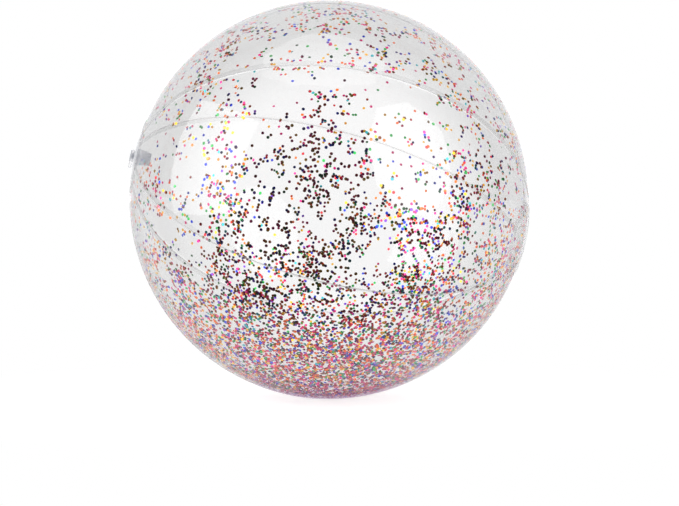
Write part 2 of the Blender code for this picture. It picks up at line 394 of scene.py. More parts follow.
@dataclass(frozen=True)
class FoilLacquer:
    """Die-cut aluminised PET under coloured lacquer: a tinted mirror, black where the room is dark."""

    name: str
    colour: str
    deep_colour: str
    share: float                        # of all the dots
    roughness: float = 0.17
    spread: float = 0.08                # how much the roughness varies either way
    mirror: float = 0.92                # the rest is scattered by the lacquer's pigment
    drift: float = 5 * MM               # how far apart the tone changes, so that dots differ from each other

    def material(self) -> bpy.types.Material:
        """Build the lacquered foil."""
        made, tree = new_material(f"{self.name}_lacquered_foil")
        place = add_node(tree, "ShaderNodeTexCoord", out="Object")
        vary = add_node(tree, NOISE, {"Vector": place, "Scale": 1 / self.drift, "Detail": 0.0})
        wide = add_node(tree, RANGE, {"Value": vary, "From Min": 0.3, "From Max": 0.7})
        tone = add_node(tree, MIX, {0: wide, 6: linear(self.colour), 7: linear(self.deep_colour)}, out=2,
                        data_type="RGBA")
        rough = add_node(tree, RANGE, {"Value": wide, "To Min": self.roughness + self.spread,
                                       "To Max": self.roughness - self.spread})
        foil = add_node(tree, "ShaderNodeBsdfPrincipled", {
            "Base Color": tone, "Metallic": self.mirror, "Roughness": rough, "Coat Weight": 0.6,
            "Coat IOR": 1.6, "Coat Roughness": 0.12})
        add_node(tree, "ShaderNodeOutputMaterial", {"Surface": foil})
        return made


class Foil(Enum):
    """The confetti's lacquers."""

    MAGENTA = FoilLacquer("magenta", "#fa1892", "#c40868", 0.21)
    RED = FoilLacquer("red", "#f0162c", "#ac0616", 0.12)
    ORANGE = FoilLacquer("orange", "#ff7c08", "#f05800", 0.16)
    GOLD = FoilLacquer("gold", "#ffca10", "#f0a800", 0.17)
    GREEN = FoilLacquer("green", "#08b648", "#04802e", 0.12)
    TEAL = FoilLacquer("teal", "#34c8d0", "#1290a0", 0.05)
    BLUE = FoilLacquer("blue", "#1e48ea", "#0c22a4", 0.10)
    VIOLET = FoilLacquer("violet", "#8c44e0", "#5a24a0", 0.07)


class Hold(Enum):
    """What holds a dot: static on the film, or only its own weight."""

    CLINGING = "wall"
    LOOSE = "bed"


# Film body

@dataclass
class FilmBody:
    """Six film gores, lapped and welded, and the plain end patch."""

    outside: float                      # diameter over a single layer
    pole: Vector                        # towards the valve
    seam_turn: float                    # first seam, from the top, about the pole axis
    film: float = 0.3 * MM
    gores: int = 6
    lap: float = 5 * MM
    weld_gap: float = 0.3 * MM
    jog: float = 1.5 * MM
    tip_diameter: float = 50 * MM
    cap_lap: float = 13 * MM
    pinch_depth: float = 0.24 * MM      # a seam is stiffer than the film beside it, and stands lower
    pinch_width: float = 14 * MM
    ripple_height: float = 0.05 * MM    # puckers that a seam gathers
    ripple_length: float = 16 * MM
    gather_from: float = 1.25           # end patch radii from the pole, where the puckers are highest
    gather_to: float = 2.4              # and where they are down to their usual height
    gather: float = 3.0
    seam_step: float = 37.0             # along the pucker noise from seam to seam, so that they differ
    join_distance: float = 0.02 * MM    # under which a sheet's wall and its faces share their points
    patch_rows: int = 28
    patch_steps: int = 128
    rows: int = 84
    columns: tuple[int, int, int, int] = (3, 34, 6, 4)      # under-lap, panel, jog and over-lap

    @property
    def radius(self) -> float:
        """Inside radius of the film."""
        return self.outside / 2 - self.film

    @property
    def seam_lift(self) -> float:
        """How far a gore's upper edge steps up."""
        return self.film + self.weld_gap

    @property
    def cap_seat(self) -> float:
        """Inside radius of an end patch."""
        return self.radius + self.seam_lift + self.film + self.weld_gap

    @property
    def cap_radius(self) -> float:
        """Of an end patch, across the pole axis."""
        return self.tip_diameter / 2 + self.cap_lap

    @property
    def turn(self) -> Matrix:
        """From the pole's own space, with the valve on local +Z, to the frame."""
        tilt = asin(self.pole.z)
        return Matrix.Rotation(tilt - pi / 2, 4, "Y")

    def gore_tree(self) -> bpy.types.NodeTree:
        """Build the tree of one gore: a sheet by angle and arc, raised at one edge, then given its wall."""
        tree, given = new_tree("film_gore", {
            "Film Radius": "Float", "Film": "Float", "Tip Diameter": "Float", "Pitch": "Float",
            "Gore Number": "Float", "Seam Turn": "Float", "Seam Lap": "Float", "Jog": "Float",
            "Weld Gap": "Float", "Seam Lift": "Float", "Patch Radius": "Float", "Pinch Depth": "Float",
            "Pinch Width": "Float", "Ripple Height": "Float", "Ripple Length": "Float",
            "Pole Turn": "Rotation", "Finish": "Material"})
        size = given.outputs
        total = sum(self.columns)
        sheet = add_node(tree, "GeometryNodeMeshGrid", {
            "Size X": 1.0, "Size Y": 1.0, "Vertices X": total + 1, "Vertices Y": self.rows + 1})
        spot = add_node(tree, "ShaderNodeSeparateXYZ", {0: add_node(tree, "GeometryNodeInputPosition")})
        across, up = spot, spot.node.outputs["Y"]

        # Down the gore: angle from the pole axis, and the radius of the ring there.
        tip_share = add_node(tree, MATH, {0: size["Tip Diameter"], 1: size["Film Radius"]},
                             operation="DIVIDE")
        half_share = add_node(tree, MATH, {0: tip_share, 1: 0.5}, operation="MULTIPLY")
        tip = add_node(tree, MATH, {0: half_share}, operation="ARCSINE")
        far = add_node(tree, MATH, {0: pi, 1: tip}, operation="SUBTRACT")
        polar = add_node(tree, RANGE, {"Value": up, "From Min": -0.5, "From Max": 0.5, "To Min": far,
                                       "To Max": tip})
        sine = add_node(tree, MATH, {0: polar}, operation="SINE")
        cosine = add_node(tree, MATH, {0: polar}, operation="COSINE")
        ring = add_node(tree, MATH, {0: sine, 1: size["Film Radius"]}, operation="MULTIPLY")

        # Across the gore: each run of columns covers its own length of arc.
        edges = [-0.5 + sum(self.columns[:count]) / total for count in range(len(self.columns) + 1)]
        pitch_arc = add_node(tree, MATH, {0: size["Pitch"], 1: ring}, operation="MULTIPLY")
        taken = add_node(tree, MATH, {0: size["Seam Lap"], 1: size["Jog"]}, operation="ADD")
        taken = add_node(tree, MATH, {0: taken, 1: size["Weld Gap"]}, operation="ADD")
        panel = add_node(tree, MATH, {0: pitch_arc, 1: taken}, operation="SUBTRACT")
        over = add_node(tree, MATH, {0: size["Seam Lap"], 1: size["Weld Gap"]}, operation="ADD")
        run = None
        for start, end, length in zip(edges, edges[1:], (size["Seam Lap"], panel, size["Jog"], over)):
            part = add_node(tree, RANGE, {"Value": across, "From Min": start, "From Max": end,
                                          "To Min": 0.0, "To Max": length})
            run = part if run is None else add_node(tree, MATH, {0: run, 1: part}, operation="ADD")
        lift = add_node(tree, RANGE, {"Value": across, "From Min": edges[2], "From Max": edges[3],
                                      "To Min": 0.0, "To Max": size["Seam Lift"]},
                        interpolation_type="SMOOTHSTEP")

        # Nearest seam: how far it is, and which one, so that neighbours pucker together.
        half_lap = add_node(tree, MATH, {0: size["Seam Lap"], 1: 0.5}, operation="MULTIPLY")
        low = add_node(tree, MATH, {0: run, 1: half_lap}, operation="SUBTRACT")
        low = add_node(tree, MATH, {0: low}, operation="ABSOLUTE")
        high = add_node(tree, MATH, {0: run, 1: pitch_arc}, operation="SUBTRACT")
        high = add_node(tree, MATH, {0: high, 1: half_lap}, operation="SUBTRACT")
        high = add_node(tree, MATH, {0: high}, operation="ABSOLUTE")
        away = add_node(tree, MATH, {0: low, 1: high}, operation="MINIMUM")
        upper = add_node(tree, MATH, {0: low, 1: high}, operation="GREATER_THAN")
        seam = add_node(tree, MATH, {0: size["Gore Number"], 1: upper}, operation="ADD")
        seam = add_node(tree, MATH, {0: seam, 1: float(self.gores)}, operation="MODULO")
        down = add_node(tree, MATH, {0: polar, 1: size["Film Radius"]}, operation="MULTIPLY")
        down = add_node(tree, MATH, {0: down, 1: size["Ripple Length"]}, operation="DIVIDE")
        track = add_node(tree, MATH, {0: seam, 1: self.seam_step, 2: down}, operation="MULTIPLY_ADD")
        pucker = add_node(tree, NOISE, {"W": track, "Scale": 1.0, "Detail": 1.0}, noise_dimensions="1D")
        pucker = add_node(tree, RANGE, {"Value": pucker, "From Min": 0.25, "From Max": 0.75,
                                        "To Min": -1.0, "To Max": 1.0})
        fade = add_node(tree, RANGE, {"Value": away, "From Min": 0.0, "From Max": size["Pinch Width"],
                                      "To Min": 1.0, "To Max": 0.0}, interpolation_type="SMOOTHSTEP")
        patch_edge = add_node(tree, MATH, {0: size["Patch Radius"], 1: self.gather_from},
                              operation="MULTIPLY")
        patch_far = add_node(tree, MATH, {0: size["Patch Radius"], 1: self.gather_to}, operation="MULTIPLY")
        clear = add_node(tree, RANGE, {"Value": ring, "From Min": size["Patch Radius"],
                                       "From Max": patch_edge, "To Min": 0.0, "To Max": 1.0},
                         interpolation_type="SMOOTHSTEP")
        gather = add_node(tree, RANGE, {"Value": ring, "From Min": patch_edge, "From Max": patch_far,
                                        "To Min": self.gather, "To Max": 1.0},
                          interpolation_type="SMOOTHSTEP")
        ripple = add_node(tree, MATH, {0: pucker, 1: size["Ripple Height"]}, operation="MULTIPLY")
        ripple = add_node(tree, MATH, {0: ripple, 1: gather}, operation="MULTIPLY")
        sunk = add_node(tree, MATH, {0: ripple, 1: size["Pinch Depth"]}, operation="SUBTRACT")
        sunk = add_node(tree, MATH, {0: sunk, 1: fade}, operation="MULTIPLY")
        sunk = add_node(tree, MATH, {0: sunk, 1: clear}, operation="MULTIPLY")

        # Place each point by its angles and its radius.
        first = add_node(tree, MATH, {0: size["Gore Number"], 1: size["Pitch"], 2: size["Seam Turn"]},
                         operation="MULTIPLY_ADD")
        swing = add_node(tree, MATH, {0: run, 1: ring}, operation="DIVIDE")
        swing = add_node(tree, MATH, {0: swing, 1: first}, operation="ADD")
        east = add_node(tree, MATH, {0: swing}, operation="COSINE")
        east = add_node(tree, MATH, {0: east, 1: sine}, operation="MULTIPLY")
        north = add_node(tree, MATH, {0: swing}, operation="SINE")
        north = add_node(tree, MATH, {0: north, 1: sine}, operation="MULTIPLY")
        heading = add_node(tree, "ShaderNodeCombineXYZ", {"X": east, "Y": north, "Z": cosine})
        reach = add_node(tree, MATH, {0: size["Film Radius"], 1: lift}, operation="ADD")
        reach = add_node(tree, MATH, {0: reach, 1: sunk}, operation="ADD")
        place = add_node(tree, VECTOR, {0: heading, "Scale": reach}, operation="SCALE")
        curved = add_node(tree, "GeometryNodeSetPosition", {"Geometry": sheet, "Position": place})

        # Mark the welded edges by face, before the sheet is bent.
        weld_end = edges[3] + 1 / total
        middle = add_node(tree, MATH, {0: across, 1: (edges[3] + weld_end) / 2}, operation="SUBTRACT")
        middle = add_node(tree, MATH, {0: middle}, operation="ABSOLUTE")
        over_lap = add_node(tree, MATH, {0: middle, 1: 0.5 / total}, operation="LESS_THAN")
        under_lap = add_node(tree, MATH, {0: across, 1: edges[1]}, operation="LESS_THAN")
        mark = add_node(tree, MATH, {0: over_lap, 1: under_lap}, operation="SUBTRACT")
        marked = add_node(tree, "GeometryNodeStoreNamedAttribute", {
            "Geometry": sheet, "Name": ClearFilm.weld_attribute, "Value": mark},
            data_type="FLOAT", domain="FACE")
        tree.links.new(marked, curved.node.inputs["Geometry"])

        # Give the sheet its wall, and close it.
        wall = add_node(tree, "GeometryNodeExtrudeMesh", {
            "Mesh": curved, "Offset Scale": size["Film"], "Individual": False}, mode="FACES")
        inner = add_node(tree, "GeometryNodeFlipFaces", {"Mesh": curved})
        both = add_node(tree, "GeometryNodeJoinGeometry", {"Geometry": wall})
        tree.links.new(inner, both.node.inputs["Geometry"])
        closed = add_node(tree, "GeometryNodeMergeByDistance", {
            "Geometry": both, "Distance": self.join_distance})
        turned = add_node(tree, "GeometryNodeTransform", {"Geometry": closed, "Rotation": size["Pole Turn"]})
        close_tree(tree, turned, size["Finish"])
        return tree

    def build(self, finish: bpy.types.Material) -> None:
        """Make the gores, and ride them on the ball."""
        tree = self.gore_tree()
        for number in range(self.gores):
            gore = grow(f"film_gore_{number + 1}", tree, {
                "Film Radius": self.radius, "Film": self.film, "Tip Diameter": self.tip_diameter,
                "Pitch": 2 * pi / self.gores, "Gore Number": float(number), "Seam Turn": self.seam_turn,
                "Seam Lap": self.lap, "Jog": self.jog, "Weld Gap": self.weld_gap, "Seam Lift": self.seam_lift,
                "Patch Radius": self.cap_radius, "Pinch Depth": self.pinch_depth,
                "Pinch Width": self.pinch_width, "Ripple Height": self.ripple_height,
                "Ripple Length": self.ripple_length, "Pole Turn": self.turn.to_euler(), "Finish": finish})
            gore.data.shade_smooth()
            gore.data.set_sharp_from_angle(angle=SHARP)
            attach(gore, "ball")
            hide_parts(f"gore_panel_{number + 1}")
            report(gore, "clear film gore with one edge lapped over the next")

    def build_plain_patch(self, finish: bpy.types.Material) -> None:
        """Make the round patch over the gore tips at the plain pole."""
        edge = asin(self.cap_radius / self.cap_seat)
        outer = arc(self.cap_seat + self.film, 0.0, edge, self.patch_rows)
        inner = arc(self.cap_seat, edge, 0.0, self.patch_rows)
        place = self.turn @ Matrix.Rotation(pi, 4, "X")
        patch = lathe("plain_patch", outer + inner, self.patch_steps, place)
        patch.data.materials.append(finish)
        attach(patch, "ball")
        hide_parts("plain_end_cap")
        report(patch, "round patch welded over the gore tips")


# Valve

@dataclass
class Valve:
    """The push-in valve: patch, weld ring, skirt, stem, tether, plug and check flap."""

    ball: FilmBody
    seat_height: float                  # outer face of the patch's flat, from the ball's centre
    travel: float                       # from pushed in to popped out
    bore: float = 6 * MM
    wall: float = 1.8 * MM
    lip_overhang: float = 1.4 * MM
    lip_thickness: float = 1.5 * MM
    collar_width: float = 0.8 * MM
    collar_thickness: float = 1.0 * MM
    skirt_room: float = 2.4 * MM
    skirt_thickness: float = 0.6 * MM
    skirt_rows: int = 24
    flange_width: float = 7 * MM
    flange_thickness: float = 0.8 * MM
    flat_margin: float = 2 * MM
    beads: int = 4                      # that the welding tool leaves on the ring
    bead_height: float = 0.2 * MM
    bead_margin: float = 0.5 * MM
    bead_fillet: float = 0.1 * MM
    patch_rows: int = 20
    grip_rings: int = 3
    grip_start: float = 0.35            # share of the way down from the lip to the collar
    grip_pitch: float = 1.6 * MM
    grip_width: float = 0.8 * MM
    grip_height: float = 0.25 * MM
    gap: float = 0.3 * MM
    plug_length: float = 7 * MM
    plug_taper: float = 0.3 * MM
    plug_chamfer: float = 0.6 * MM
    head_inset: float = 0.7 * MM
    head_thickness: float = 1.6 * MM
    dish_depth: float = 0.5 * MM
    dish_rim: float = 1.2 * MM
    dish_slope: float = 0.6 * MM
    tether_width: float = 3 * MM
    tether_thickness: float = 0.8 * MM
    tether_reach: float = 4.5 * MM
    tether_waist: float = 0.28          # share of the width that is lost at the bend
    strap_step: float = 0.6 * MM
    strap_fillet: float = 0.2 * MM
    flap_overlap: float = 1.4 * MM
    flap_thickness: float = 0.4 * MM
    flap_fillet: float = 0.12 * MM
    fillet: float = 0.25 * MM
    steps: int = 64

    def __post_init__(self) -> None:
        """Work out the heights and radii that follow from the sizes."""
        self.stem_radius = self.bore / 2 + self.wall
        self.lip_radius = self.stem_radius + self.lip_overhang
        self.root_radius = self.stem_radius + self.collar_width
        self.hole_radius = self.root_radius + self.skirt_room
        self.flange_radius = self.hole_radius + self.flange_width
        self.flange_top = -self.ball.film - self.ball.weld_gap
        self.flange_foot = self.flange_top - self.flange_thickness
        self.collar_top = self.flange_foot - self.gap - self.travel
        self.root_height = self.collar_top - self.collar_thickness
        self.head_foot = self.lip_thickness + self.gap
        self.head_radius = self.lip_radius - self.head_inset
        self.flap_radius = self.bore / 2 + self.flap_overlap

    @property
    def place(self) -> Matrix:
        """From the valve seat's own space to the frame."""
        return self.ball.turn @ Matrix.Translation((0, 0, self.seat_height))

    def build_patch(self, finish: bpy.types.Material) -> None:
        """Make the patch, held flat round its hole."""
        seat, film = self.ball.cap_seat, self.ball.film
        edge = asin(self.ball.cap_radius / seat)
        flat = asin((self.flange_radius + self.flat_margin) / seat)

        def surface(lift: float, start: float, end: float) -> list[tuple[float, float]]:
            """Points on the patch's dome, measured from the flat."""
            return [(x, z + lift - self.seat_height) for x, z in arc(seat, start, end, self.patch_rows)]

        outer = [(self.hole_radius, 0.0)] + surface(film, flat, edge)
        inner = surface(0.0, edge, flat) + [(self.hole_radius, -film)]
        patch = lathe("valve_patch", outer + inner, self.ball.patch_steps, self.place)
        self.dress(patch, finish, "ball", "valve_end_cap")

    def build_ring(self, finish: bpy.types.Material) -> None:
        """Make the weld ring under the patch, with the low beads that the welding tool leaves."""
        profile = [(self.hole_radius, self.flange_top), (self.flange_radius, self.flange_top),
                   (self.flange_radius, self.flange_foot)]
        low, high = self.flange_foot, self.flange_foot + self.bead_height
        pitch = (self.flange_width - 2 * self.bead_margin) / self.beads
        for bead in range(self.beads):
            out = self.flange_radius - self.bead_margin - bead * pitch
            profile += [(out - 0.15 * pitch, low), (out - 0.35 * pitch, high),
                        (out - 0.65 * pitch, high), (out - 0.85 * pitch, low)]
        profile.append((self.hole_radius, self.flange_foot))
        ring = lathe("valve_weld_ring", rounded(profile, self.bead_fillet, 2), self.steps, self.place)
        self.dress(ring, finish, "ball", "valve_flange")

    def build_skirt(self, finish: bpy.types.Material) -> None:
        """Make the thin skirt that turns inside out between the weld ring and the stem's root."""
        top, foot = self.flange_foot - self.gap, self.collar_top - self.collar_thickness / 2
        narrow = self.root_radius + self.gap

        def side(lift: float) -> list[tuple[float, float]]:
            """One side of the skirt, eased at both ends."""
            made = []
            for step in range(self.skirt_rows + 1):
                share = step / self.skirt_rows
                ease = share * share * (3 - 2 * share)
                across = self.hole_radius + (narrow - self.hole_radius) * ease
                made.append((across + lift, top + (foot - top) * share))
            return made

        profile = side(self.skirt_thickness) + side(0.0)[::-1]
        skirt = lathe("valve_skirt_web", profile, self.steps, self.place)
        self.dress(skirt, finish, None, "valve_skirt")
        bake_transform(skirt)

    def build_stem(self, finish: bpy.types.Material) -> None:
        """Make the stem, with grip rings under its lip and a soft lip edge."""
        bore = self.bore / 2
        profile = [(bore, self.lip_thickness), (self.lip_radius, self.lip_thickness), (self.lip_radius, 0.0),
                   (self.stem_radius, 0.0)]
        half = self.grip_width / 2
        for ring in range(self.grip_rings):
            mid = self.collar_top * self.grip_start - ring * self.grip_pitch
            profile += [(self.stem_radius, mid + half), (self.stem_radius + self.grip_height, mid),
                        (self.stem_radius, mid - half)]
        profile += [(self.stem_radius, self.collar_top), (self.root_radius, self.collar_top),
                    (self.root_radius, self.root_height), (bore, self.root_height)]
        stem = lathe("valve_stem_tube", rounded(profile, self.fillet), self.steps, self.place)
        self.dress(stem, finish, "stem", "valve_stem")

    def build_plug(self, finish: bpy.types.Material) -> None:
        """Make the tapered plug, with a dished head and a rim to pull by."""
        shank = self.bore / 2 - self.gap
        tip = shank - self.plug_taper
        foot = self.head_foot - self.plug_length
        top = self.head_foot + self.head_thickness
        rim = self.head_radius - self.dish_rim
        profile = [(0.0, top - self.dish_depth), (rim - self.dish_slope, top - self.dish_depth), (rim, top),
                   (self.head_radius, top), (self.head_radius, self.head_foot), (shank, self.head_foot),
                   (tip, foot + self.plug_chamfer), (tip - self.plug_chamfer, foot), (0.0, foot)]
        plug = lathe("valve_plug_cap", rounded(profile, self.fillet), self.steps, self.place)
        self.dress(plug, finish, "plug", "valve_plug")

    def build_tether(self, finish: bpy.types.Material) -> None:
        """Make the strap from the lip to the plug's head, waisted at its bend."""
        low, high = self.lip_thickness / 2, self.head_foot + self.head_thickness / 2
        bend_x, bend_z = -self.lip_radius - self.tether_reach, (low + high) / 2
        around = [(bend_x - x, bend_z + z) for x, z in arc((high - low) / 2, 0.0, pi, 16)]
        line = [(-self.head_radius - self.gap, high)] + around + [(-self.lip_radius - self.gap, low)]
        spine = []
        for first, second in zip(line, line[1:]):
            steps = max(1, round((Vector(second) - Vector(first)).length / self.strap_step))
            spine += [Vector(first).lerp(Vector(second), step / steps) for step in range(steps)]
        spine.append(Vector(line[-1]))
        half = self.tether_thickness / 2
        aside = 2 * self.tether_width       # keeps a section off the axis, where corners would stay sharp
        shape = bmesh.new()
        sections = []
        for number, spot in enumerate(spine):
            ahead, behind = spine[min(number + 1, len(spine) - 1)], spine[max(number - 1, 0)]
            run = (ahead - behind).normalized()
            side = Vector((run.y, -run.x))
            waist = 1.0 - self.tether_waist * sin(pi * number / (len(spine) - 1))
            wide = self.tether_width / 2 * waist
            right, left = aside + wide, aside - wide
            section = [(right, half), (right, -half), (left, -half), (left, half)]
            loop = []
            for across, thick in rounded(section, self.strap_fillet, 2):
                out = spot + side * thick
                loop.append(shape.verts.new((out.x, across - aside, out.y)))
            sections.append(loop)
        for first, second in zip(sections, sections[1:]):
            for here in range(len(first)):
                after = (here + 1) % len(first)
                shape.faces.new((first[here], first[after], second[after], second[here]))
        shape.faces.new(sections[0])
        shape.faces.new(sections[-1])
        tether = finish_mesh("plug_tether_strap", shape, self.place)
        self.dress(tether, finish, None, "plug_tether")
        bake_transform(tether)

    def build_flap(self, finish: bpy.types.Material) -> None:
        """Make the check flap, a thin disc with a soft edge."""
        top = self.root_height - self.gap
        profile = [(0.0, top), (self.flap_radius, top), (self.flap_radius, top - self.flap_thickness),
                   (0.0, top - self.flap_thickness)]
        flap = lathe("check_flap_disc", rounded(profile, self.flap_fillet, 3), self.steps, self.place)
        self.dress(flap, finish, "flap", "check_flap")

    def dress(self, piece: bpy.types.Object, finish: bpy.types.Material, body: str | None, node: str) -> None:
        """Give a piece its finish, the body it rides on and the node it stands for."""
        piece.data.materials.append(finish)
        if body:
            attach(piece, body)
        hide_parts(node)
        report(piece, f"stands for {node}")


# Confetti

@dataclass(frozen=True)
class Drift:
    """A place where static holds more dots, or fewer, by compass bearing from the front and by elevation."""

    bearing: float
    elevation: float
    spread: float                       # radius on the film
    cover: float

    @property
    def heading(self) -> Vector:
        """Direction from the ball's centre."""
        turn, rise = radians(self.bearing), radians(self.elevation)
        return Vector((sin(turn) * cos(rise), -cos(turn) * cos(rise), sin(rise)))


@dataclass
class Confetti:
    """Die-cut foil dots: short chains and clumps that cling to the film, and a settled bed in the bottom."""

    ball: FilmBody
    valve: Valve
    bed_half_angle: float
    dot: float = 3.0 * MM
    foil: float = 0.10 * MM
    sides: int = 8
    longest_chain: int = 6
    clump: float = 42 * MM              # size of the thicker and thinner patches
    clinging_clearance: float = 0.34 * MM      # under the film, and clear of the seams' pull
    loose_clearance: float = 1.8 * MM          # under the film and the clinging dots
    valve_room: float = 4 * MM                 # free of dots round the valve's weld ring
    seed: int = 4
    filling: tuple[float, float] = (0.45, 0.60)     # noise at which a patch starts, and at which it is full
    patchiness: tuple[float, float] = (0.04, 2.8)   # times the cover, in the thinnest and fullest patches
    bed_height: tuple[float, float] = (0.15, 0.32)  # share of the height over which patches set in
    bed_edge: float = 0.84              # share of the bed's half angle, beyond which fewer dots are loose
    loose_share: float = 0.82           # of the dots in the bed
    bow: float = 0.16                   # how much a chain bends, in dots
    tightest: float = 0.45              # step of the loosest clump, in dots
    jitter: float = 0.34                # in dots, for a neat chain
    slack_jitter: float = 1.6           # more of it for the loosest clump
    clinging_tip: float = radians(18)
    loose_tip: float = radians(28)
    clinging_pile: float = 0.12 * MM
    loose_pile: float = 1.1 * MM        # depth of the loose dots over each other
    die_wear: tuple[float, float] = (0.90, 1.06)    # smallest and largest dot, by the usual one
    # Share of the film that dots cover, by height from the bottom (0) to the top (1)
    cover: tuple[tuple[float, float], ...] = (
        (0.0, 1.0), (0.1, 0.72), (0.17, 0.54), (0.24, 0.34), (0.30, 0.29), (0.37, 0.25), (0.5, 0.13),
        (0.62, 0.09), (0.8, 0.06), (1.0, 0.09))
    # And times that, by place along the pole axis, from the plain pole (0) to the valve (1), above the bed
    ends: tuple[tuple[float, float], ...] = ((0.0, 0.6), (1.0, 0.2), (0.15, 1.0), (0.82, 1.0))
    drifts: tuple[Drift, ...] = (
        Drift(-9, 4, 24 * MM, 0.55), Drift(-26, -27, 27 * MM, 0.60), Drift(23, -27, 30 * MM, 0.70),
        Drift(-33, -9, 40 * MM, 0.30), Drift(-50, 53, 40 * MM, 0.25), Drift(163, -5, 32 * MM, 0.40),
        Drift(-57, 37, 18 * MM, 0.35), Drift(5, 17, 26 * MM, 0.30), Drift(-31, 8, 13 * MM, 0.60),
        Drift(34, 2, 26 * MM, 0.30), Drift(-12, 8, 70 * MM, 0.12), Drift(-50, 15, 52 * MM, -0.12),
        Drift(18, 24, 44 * MM, -0.10))

    def tree(self) -> bpy.types.NodeTree:
        """Build the tree that scatters, chains, colours and places the dots."""
        tree, given = new_tree("confetti", {
            "Film Radius": "Float", "Dot Diameter": "Float", "Foil": "Float", "Clearance": "Float",
            "Clump": "Float", "Seed": "Int", "Share From": "Float", "Share To": "Float", "Loose": "Bool",
            "Bed Half Angle": "Float", "Valve": "Vector", "Valve Room": "Float", "Finish": "Material"})
        size = given.outputs
        shell = add_node(tree, "GeometryNodeMeshIcoSphere", {
            "Radius": size["Film Radius"], "Subdivisions": 6})
        here = add_node(tree, "GeometryNodeInputPosition")
        heading = add_node(tree, VECTOR, {0: here}, operation="NORMALIZE")

        # How thickly the film is covered: by height, in patches, and in drifts.
        height = add_node(tree, "ShaderNodeSeparateXYZ", {0: heading}, out="Z")
        level = add_node(tree, RANGE, {"Value": height, "From Min": -1.0, "From Max": 1.0})
        layers = add_node(tree, "ShaderNodeFloatCurve", {"Value": level})
        to_pole = add_node(tree, VECTOR, {0: heading, 1: size["Valve"]}, out="Value", operation="DOT_PRODUCT")
        to_pole = add_node(tree, RANGE, {"Value": to_pole, "From Min": -1.0, "From Max": 1.0})
        ends = add_node(tree, "ShaderNodeFloatCurve", {"Value": to_pole})
        for shares, points in ((layers, self.cover), (ends, self.ends)):
            curve = shares.node.mapping.curves[0]
            for number, (where, much) in enumerate(points):
                if number < 2:
                    curve.points[number].location = (where, much)
                else:
                    curve.points.new(where, much)
            shares.node.mapping.update()
        fine = add_node(tree, MATH, {0: 1.0, 1: size["Clump"]}, operation="DIVIDE")
        patch = add_node(tree, NOISE, {"Vector": here, "Scale": fine, "Detail": 3.0, "Roughness": 0.72})
        start, full = self.filling
        least, most = self.patchiness
        patch = add_node(tree, RANGE, {"Value": patch, "From Min": start, "From Max": full, "To Min": least,
                                       "To Max": most})
        start, full = self.bed_height
        even = add_node(tree, RANGE, {"Value": level, "From Min": start, "From Max": full})
        patch = add_node(tree, MIX, {0: even, 2: 1.0, 3: patch}, data_type="FLOAT")
        cover = add_node(tree, MATH, {0: layers, 1: patch}, operation="MULTIPLY")
        spare = add_node(tree, MIX, {0: even, 2: 1.0, 3: ends}, data_type="FLOAT")
        cover = add_node(tree, MATH, {0: cover, 1: spare}, operation="MULTIPLY")
        for drift in self.drifts:
            away = add_node(tree, VECTOR, {0: heading, 1: drift.heading}, out="Value", operation="DISTANCE")
            more = add_node(tree, RANGE, {
                "Value": away, "From Min": 0.0, "From Max": drift.spread / self.ball.radius,
                "To Min": drift.cover, "To Max": 0.0}, interpolation_type="SMOOTHSTEP")
            cover = add_node(tree, MATH, {0: cover, 1: more}, operation="ADD")
        mean_chain = 1 + (self.longest_chain - 1) / 5
        full = 1 / (pi * self.dot ** 2 / 4 * mean_chain)
        density = add_node(tree, MATH, {0: cover, 1: full}, operation="MULTIPLY")
        starts = add_node(tree, "GeometryNodeDistributePointsOnFaces", {
            "Mesh": shell, "Density": density, "Seed": size["Seed"]}, distribute_method="RANDOM")

        # Each start grows into a bent chain, or a loose clump, of one dot or more.
        lean = add_node(tree, RANDOM, {0: (-1, -1, -1), 1: (1, 1, 1), "Seed": 1}, data_type="FLOAT_VECTOR")
        kept = add_node(tree, "GeometryNodeStoreNamedAttribute", {
            "Geometry": starts, "Name": "lean", "Value": lean}, data_type="FLOAT_VECTOR", domain="POINT")
        loosen = add_node(tree, RANDOM, {2: 0.0, 3: 1.0, "Seed": 2}, out=1, data_type="FLOAT")
        loosen = add_node(tree, MATH, {0: loosen, 1: 3.0}, operation="POWER")
        kept = add_node(tree, "GeometryNodeStoreNamedAttribute", {
            "Geometry": kept, "Name": "slack", "Value": loosen}, data_type="FLOAT", domain="POINT")
        chance = add_node(tree, RANDOM, {2: 0.0, 3: 1.0, "Seed": 3}, out=1, data_type="FLOAT")
        chance = add_node(tree, MATH, {0: chance, 1: 4.0}, operation="POWER")
        count = add_node(tree, RANGE, {"Value": chance, "To Min": 1.0, "To Max": float(self.longest_chain)})
        chain = add_node(tree, "GeometryNodeDuplicateElements", {"Geometry": kept, "Amount": count},
                         domain="POINT")
        link = chain.node.outputs["Duplicate Index"]
        lean = add_node(tree, "GeometryNodeInputNamedAttribute", {"Name": "lean"}, data_type="FLOAT_VECTOR")
        slack = add_node(tree, "GeometryNodeInputNamedAttribute", {"Name": "slack"}, data_type="FLOAT")
        along = add_node(tree, VECTOR, {0: heading, 1: lean}, operation="CROSS_PRODUCT")
        along = add_node(tree, VECTOR, {0: along}, operation="NORMALIZE")
        aside = add_node(tree, VECTOR, {0: heading, 1: along}, operation="CROSS_PRODUCT")
        bend = add_node(tree, "ShaderNodeSeparateXYZ", {0: lean})
        square = add_node(tree, MATH, {0: link, 1: 2.0}, operation="POWER")
        bow = add_node(tree, MATH, {0: square, 1: bend}, operation="MULTIPLY")
        bow = add_node(tree, MATH, {0: bow, 1: self.bow}, operation="MULTIPLY")
        jitter = add_node(tree, RANDOM, {0: (-1, -1, -1), 1: (1, 1, 1), "Seed": 4}, data_type="FLOAT_VECTOR")
        loose_step = add_node(tree, MATH, {0: slack, 1: self.slack_jitter, 2: self.jitter},
                              operation="MULTIPLY_ADD")
